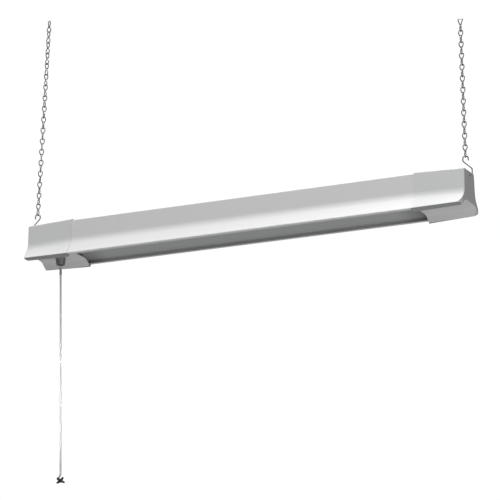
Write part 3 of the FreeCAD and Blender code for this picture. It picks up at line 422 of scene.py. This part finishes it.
sleeved = Finish("component_black")
along, _, _ = sleeved.axes()
tape = (along - TRANSFORMER_PLACE).size().step(TAPE_HALF, TAPE_HALF + TAPE_EDGE)
sleeved.set("Base Color", sleeved.mix(tape, (0.72, 0.52, 0.10), (0.035, 0.035, 0.04)))
sleeved.set("Roughness", 0.35 + sleeved.noise(0.002) * 0.15)
sleeved.relief(sleeved.noise(0.0015), 0.00004)
dress(sleeved, "driver_parts")

# %% [markdown]
# ## Surfaces from grids
# A new piece is a grid of points worked out by a formula. The rows run along the piece and
# the columns run round it, and one function turns such a grid into a closed mesh.


# %% Surface from a grid
def surface(name, grid):
    """A tube-like mesh from grid[row, column]; the columns close on themselves and both
    ends are closed by a face. Its UV map is (share of the way round, share of the way along)."""
    rows, columns, _ = grid.shape
    row, column = np.meshgrid(np.arange(rows - 1), np.arange(columns), indexing="ij")
    beside = (column + 1) % columns
    quads = np.stack([row * columns + column, row * columns + beside,
                      (row + 1) * columns + beside, (row + 1) * columns + column], -1)
    first, last = np.arange(columns)[::-1], np.arange(columns) + (rows - 1) * columns
    faces = quads.reshape(-1, 4).tolist() + [first.tolist(), last.tolist()]
    mesh = bpy.data.meshes.new(name)
    mesh.from_pydata(grid.reshape(-1, 3).tolist(), [], faces)
    u = np.stack([column, column + 1, column + 1, column], -1) / columns
    v = np.stack([row, row, row + 1, row + 1], -1) / (rows - 1)
    uv = np.zeros((len(mesh.loops), 2))
    uv[:quads.size] = np.stack([u, v], -1).reshape(-1, 2)
    mesh.uv_layers.new(name="round_and_along").data.foreach_set("uv", uv.ravel())
    mesh.shade_smooth()
    piece = bpy.data.objects.new(name, mesh)
    bpy.context.scene.collection.objects.link(piece)
    print(name, "faces", len(mesh.polygons))
    return piece


def directions(path):
    """Unit directions along a path."""
    ahead = np.gradient(path, axis=0)
    return ahead / np.linalg.norm(ahead, axis=1, keepdims=True)


def run_along(path):
    """How far along the path each of its points lies."""
    return np.r_[0, np.cumsum(np.linalg.norm(np.diff(path, axis=0), axis=1))]


# %% [markdown]
# ## Pull cord
# The cord is 4 mm braided cotton. It hangs straight from the switch's ferrule and turns a
# little to the left at its lower end, where it goes into the knob. Its line is one smooth
# NURBS curve, and the braid is carried along that line. Eight strands wind each way round.
# A tube with a bump pattern would have a round outline close up, so the tube's radius itself
# swells where a strand comes up, and the colour follows the same waves through the UV map:
# the grooves between strands are painted darker, as painted shade.

# %% Pull cord
CORD_RADIUS = 0.002
CORD_LENGTH = 0.404
CORD_ROUTE = [(-0.3995, 0, -0.44467), (-0.3995, 0, -0.8350), (-0.3995, 0, -0.8445),
              (-0.4040, 0, -0.84807)]
CORD_STRANDS = 8  # each way round
BRAID_PITCH = 0.016
CORD_ROWS = 900
CORD_COLUMNS = 40
STRAND_SWELL = 0.07  # of the radius, between a strand's low and high stretches


def nurbs_line(name, route):
    """One open NURBS spline with the route's points as its control points."""
    curve = bpy.data.curves.new(name, "CURVE")
    curve.dimensions = "3D"
    spline = curve.splines.new("NURBS")
    spline.points.add(len(route) - 1)
    spline.points.foreach_set("co", np.c_[np.array(route), np.ones(len(route))].ravel())
    spline.order_u = 3
    spline.use_endpoint_u = True
    spline.resolution_u = 40
    line = bpy.data.objects.new(name, curve)
    bpy.context.scene.collection.objects.link(line)
    return line


def points_of(line):
    """Points along a curve that has no bevel; the curve is removed afterwards."""
    mesh = bpy.data.meshes.new_from_object(line)
    points = np.zeros(len(mesh.vertices) * 3)
    mesh.vertices.foreach_get("co", points)
    bpy.data.objects.remove(line)
    return points.reshape(-1, 3)


def even_points(points, count):
    """The same line, cut into equal lengths."""
    run = run_along(points)
    at = np.linspace(0, run[-1], count)
    return np.stack([np.interp(at, run, points[:, axis]) for axis in range(3)], 1)


def braided(path, radius):
    """A tube along the path whose strands pass over and under each other.
    The radius swells by the higher of two sets of waves that wind opposite ways."""
    run = run_along(path)[:, None]
    angle = np.linspace(0, 2 * np.pi, CORD_COLUMNS, endpoint=False)[None, :]
    lean = 2 * np.pi * run / BRAID_PITCH
    half = CORD_STRANDS / 2
    one, other = np.cos(half * (angle + lean)), np.cos(half * (angle - lean))
    swell = np.maximum(one, other) * 0.5 + 0.5
    reach = radius * (1 - STRAND_SWELL + STRAND_SWELL * swell)
    side = np.tile([0.0, 1.0, 0.0], (len(path), 1))  # the path lies in the plane across Y
    over = np.cross(directions(path), side)
    ring = side[:, None] * np.cos(angle)[..., None] + over[:, None] * np.sin(angle)[..., None]
    return path[:, None] + ring * reach[..., None]


cord_path = even_points(points_of(nurbs_line("cord_line", CORD_ROUTE)), CORD_ROWS)
cord = surface("braided_cord", braided(cord_path, CORD_RADIUS))
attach(cord, "cord")
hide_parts("pull_cord")

cotton = Finish("cord_cotton", Sheen_Weight=0.3, Sheen_Roughness=0.6)
weave = cotton.node("UVMap", {"uv_map": "round_and_along"})
around, down, _ = cotton.axes(weave)
turns = CORD_LENGTH / BRAID_PITCH
one = ((around + down * turns) * (math.pi * CORD_STRANDS)).wave()
other = ((around - down * turns) * (math.pi * CORD_STRANDS)).wave()
yarn = one.math("MAXIMUM", one, other) * 0.5 + 0.5
# painted shade: darker in the grooves between the strands, lighter on their crests
cotton.set("Base Color", cotton.mix(yarn, (0.62, 0.62, 0.615), (0.88, 0.88, 0.87)))
cotton.set("Roughness", 0.85)
cotton.relief(yarn + cotton.noise(0.0003) * 0.3, 0.0002)
cord.data.materials.append(cotton.material)

# %% [markdown]
# ## Return spring
# The switch's rod is pushed back up by a coil spring inside the switch. It stands between
# the switch's floor and the rod's head, and it shortens as the rod comes down. The frame only
# has a plain sleeve in its place, so the wire is wound here.

# %% Return spring
SPRING_WIRE = 0.0006
SPRING_TURNS = 7
SPRING_ROWS = 420
SPRING_COLUMNS = 12

low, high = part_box("switch_spring")
spring_centre = (low + high) / 2
spring_radius = (high.x - low.x) / 2 - SPRING_WIRE


def coil(centre, bottom, top, radius, wire, turns):
    """A wire wound on a cylinder; its first and last turns lie flat, as ground ends do."""
    share = np.linspace(0, 1, SPRING_ROWS)
    angle = 2 * np.pi * turns * share
    closed = 1 / turns
    climb = np.clip((share - closed) / (1 - 2 * closed), 0, 1)
    pitch = 2.2 * wire
    height = bottom + wire + pitch * np.minimum(share, closed) / closed
    span = top - bottom - 2 * wire - 2 * pitch
    height = height + climb * span + pitch * np.clip((share - 1 + closed) / closed, 0, 1)
    path = np.stack([centre.x + radius * np.cos(angle), centre.y + radius * np.sin(angle),
                     height], 1)
    out = np.stack([np.cos(angle), np.sin(angle), 0 * angle], 1)
    across = np.cross(out, directions(path))
    around = np.linspace(0, 2 * np.pi, SPRING_COLUMNS, endpoint=False)[None, :, None]
    ring = out[:, None] * np.cos(around) + across[:, None] * np.sin(around)
    return path[:, None] + wire * ring


winding = coil(spring_centre, low.z, high.z, spring_radius, SPRING_WIRE, SPRING_TURNS)
spring = surface("coil_spring", winding)
spring.data.materials.append(spring_steel.material)
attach(spring, "lamp")
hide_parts("switch_spring")
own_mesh(spring)

# %% [markdown]
# ## Studio
# The photograph is a cut-out on white with soft light: strongest from above and in front,
# weaker from the right and from below on the right. Big square lights give the same soft
# change from the bright wing to the grey wall. Their strengths were worked out by rendering
# each light alone and taking the mixture whose greys come nearest on the walls, the wings,
# the lens and the end face. The camera sees the world as white, metal mirrors a dim room, and
# the world adds no light of its own. A narrow light from the right lifts the thin cord only.
# The floor lies far below the lamp and throws light up to it. It would hide the lamp from
# a viewer lying on the ground, so the camera looks through it and sees a pale ground instead.

# %% Floor
FLOOR_DEPTH = 2.45
FLOOR_HALF = 40.0
corners = [(x * FLOOR_HALF, y * FLOOR_HALF, -FLOOR_DEPTH)
           for x, y in ((-1, -1), (1, -1), (1, 1), (-1, 1))]
floor_mesh = bpy.data.meshes.new("floor")
floor_mesh.from_pydata(corners, [], [(0, 1, 2, 3)])
floor = bpy.data.objects.new("floor", floor_mesh)
bpy.context.scene.collection.objects.link(floor)
floor_mesh.materials.append(Finish("floor", Base_Color=(0.80, 0.80, 0.80), Roughness=0.9).material)
floor.visible_camera = False  # it only throws light back up

# %% World and lights
MIRRORED = 0.08  # brightness of the room in the metal's reflections
BACKDROP = 1.02
GROUND = 0.62  # the pale ground that views from above show
HORIZON_LOW, HORIZON_HIGH = -0.06, 0.02  # slopes between which ground turns to backdrop

world = bpy.data.worlds.new("studio")
bpy.context.scene.world = world
world.use_nodes = True
tree = world.node_tree
background = tree.nodes["Background"]
direction = tree.nodes.new("ShaderNodeTexCoord").outputs["Generated"]
split = tree.nodes.new("ShaderNodeSeparateXYZ")
tree.links.new(direction, split.inputs[0])
horizon = tree.nodes.new("ShaderNodeMapRange")
tree.links.new(split.outputs[2], horizon.inputs[0])
for socket, value in enumerate((HORIZON_LOW, HORIZON_HIGH, GROUND, BACKDROP), 1):
    horizon.inputs[socket].default_value = value
ray = tree.nodes.new("ShaderNodeLightPath").outputs


def chosen(test, otherwise, value):
    """The value where the test is 1 and the other where it is 0; each a number or a socket."""
    made = tree.nodes.new("ShaderNodeMapRange")
    tree.links.new(test, made.inputs[0])
    for socket, given in ((made.inputs[3], otherwise), (made.inputs[4], value)):
        if isinstance(given, float):
            socket.default_value = given
        else:
            tree.links.new(given, socket)
    return made.outputs[0]


mirrored = chosen(ray["Is Glossy Ray"], 0.0, MIRRORED)
brightness = chosen(ray["Is Camera Ray"], mirrored, horizon.outputs[0])
tree.links.new(brightness, background.inputs["Strength"])
background.inputs["Color"].default_value = (1, 1, 1, 1)

LAMP_MIDDLE = Vector((0, 0, -0.38))


def softbox(name, place, width, power, aim=LAMP_MIDDLE, spread=180.0):
    light = bpy.data.lights.new(name, "AREA")
    light.size = width
    light.spread = math.radians(spread)
    light.energy = power
    lit = bpy.data.objects.new(name, light)
    bpy.context.scene.collection.objects.link(lit)
    lit.location = place
    lit.rotation_mode = "QUATERNION"
    lit.rotation_quaternion = (aim - Vector(place)).to_track_quat("-Z", "Y")
    lit.visible_camera = False
    return lit


softbox("front_top", (-0.5, -2.2, 2.6), 2.0, 60.1)
softbox("top", (0, 0.3, 3.0), 2.0, 137.6)
softbox("front", (0, -4.0, 0.4), 2.0, 15.9)
softbox("front_right", (3.0, -3.2, 0.2), 2.0, 25.3)
softbox("low_right", (2.5, -1.0, -1.9), 1.5, 9.5)
softbox("cord_light", (0.2, -1.4, -0.69), 0.26, 0.14, Vector((-0.4, 0, -0.69)), 6.0)

bpy.context.scene.view_settings.view_transform = "Standard"
bpy.context.scene.view_settings.look = "None"

# %% Update the scene
bpy.context.view_layer.update()
